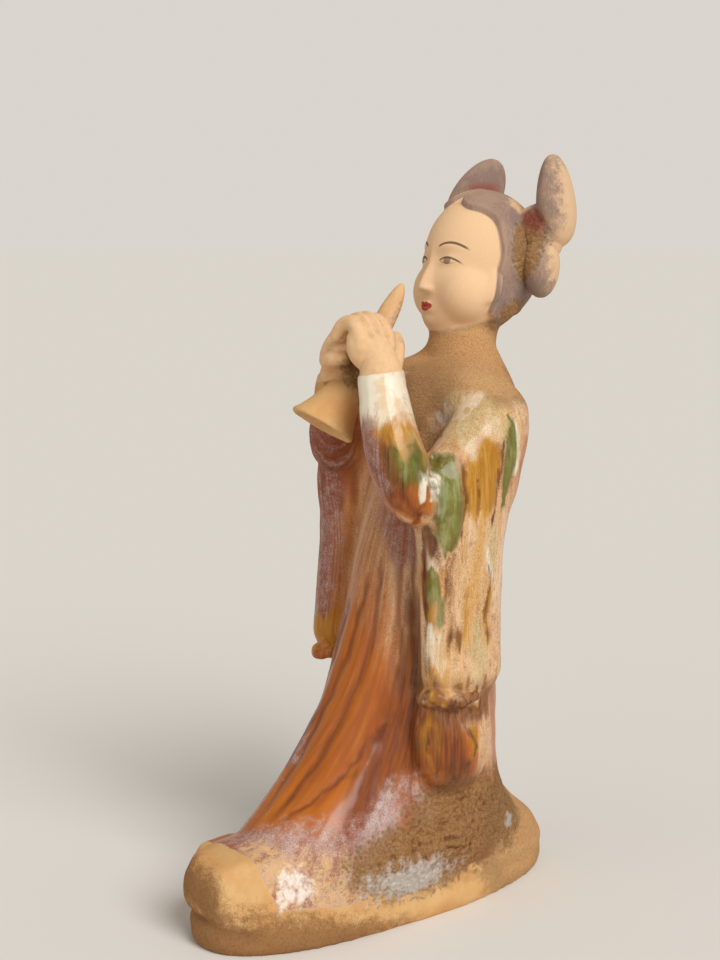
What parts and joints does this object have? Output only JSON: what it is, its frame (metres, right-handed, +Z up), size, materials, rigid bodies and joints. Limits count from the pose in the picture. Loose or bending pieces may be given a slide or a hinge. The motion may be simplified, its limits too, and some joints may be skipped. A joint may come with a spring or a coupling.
{
  "type": "tomb attendant figure",
  "caption": "Standing glazed-earthenware lady in a trailing skirt and hanging sleeves, playing a flared horn, moulded in one with her low foot slab",
  "frame": {"origin": "on the flat underside, below the middle of the foot slab", "axes": "+Z up, the figure faces -Y, her left hand is on +X"},
  "size_m": [0.1284, 0.2337, 0.405],
  "materials": {
    "glazed_earthenware": null
  },
  "bodies": {
    "root": {"attendant_figure": "glazed_earthenware"}
  },
  "joints": []
}
